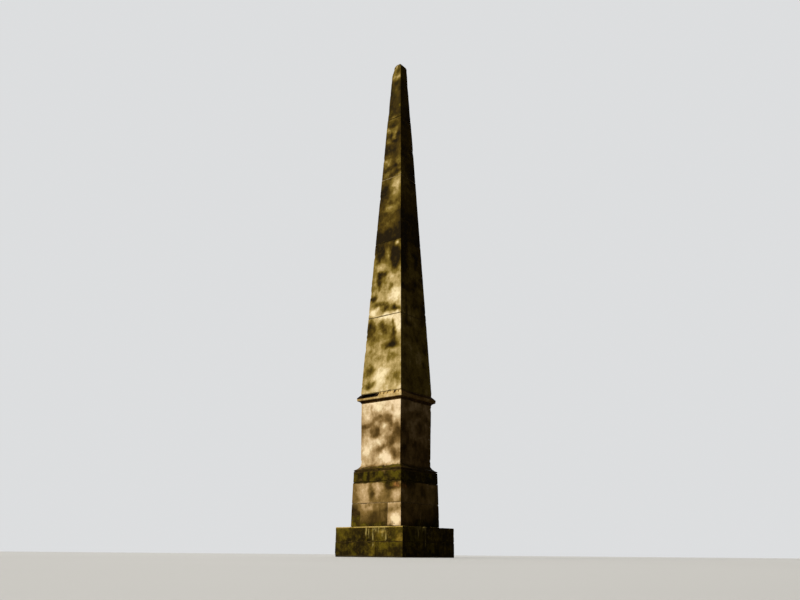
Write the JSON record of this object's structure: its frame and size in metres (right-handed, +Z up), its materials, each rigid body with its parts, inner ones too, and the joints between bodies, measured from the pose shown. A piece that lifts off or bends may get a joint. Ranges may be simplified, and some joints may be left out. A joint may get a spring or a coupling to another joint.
{
  "type": "obelisk",
  "caption": "Tall square obelisk of weathered sandstone blocks on a moulded pedestal and stepped plinth, standing on its flat underside.",
  "frame": {"origin": "centre of the underside, at ground level under the tip", "axes": "+Z up, front face towards -Y, right face towards +X"},
  "size_m": [1.696, 1.696, 11.5],
  "materials": {
    "plinth_stone": "mossy sandstone, rough",
    "pedestal_stone": "stained sandstone, rough",
    "die_stone": "pale sandstone, rough",
    "cornice_stone": "pale sandstone, rough",
    "shaft_stone": "streaked sandstone, rough",
    "mortar": "old lime mortar, rough"
  },
  "bodies": {
    "root": {"plinth_lower_front_left": "plinth_stone", "plinth_lower_front_right": "plinth_stone", "plinth_lower_back_left": "plinth_stone", "plinth_lower_back_right": "plinth_stone", "plinth_upper_left_front": "plinth_stone", "plinth_upper_left_back": "plinth_stone", "plinth_upper_right_front": "plinth_stone", "plinth_upper_right_back": "plinth_stone", "pedestal_bottom_front_left": "pedestal_stone", "pedestal_bottom_front_right": "pedestal_stone", "pedestal_bottom_back_left": "pedestal_stone", "pedestal_bottom_back_right": "pedestal_stone", "pedestal_middle": "pedestal_stone", "pedestal_cap": "pedestal_stone", "die": "die_stone", "cornice": "cornice_stone", "shaft_block_1": "shaft_stone", "shaft_block_2": "shaft_stone", "shaft_block_3": "shaft_stone", "shaft_block_4": "shaft_stone", "shaft_top": "shaft_stone", "plinth_middle_bed": "mortar", "pedestal_foot_bed": "mortar", "pedestal_middle_bed": "mortar", "cap_bed": "mortar", "die_bed": "mortar", "cornice_bed": "mortar", "shaft_foot_bed": "mortar", "shaft_bed_1": "mortar", "shaft_bed_2": "mortar", "shaft_bed_3": "mortar", "shaft_bed_4": "mortar"}
  },
  "joints": []
}
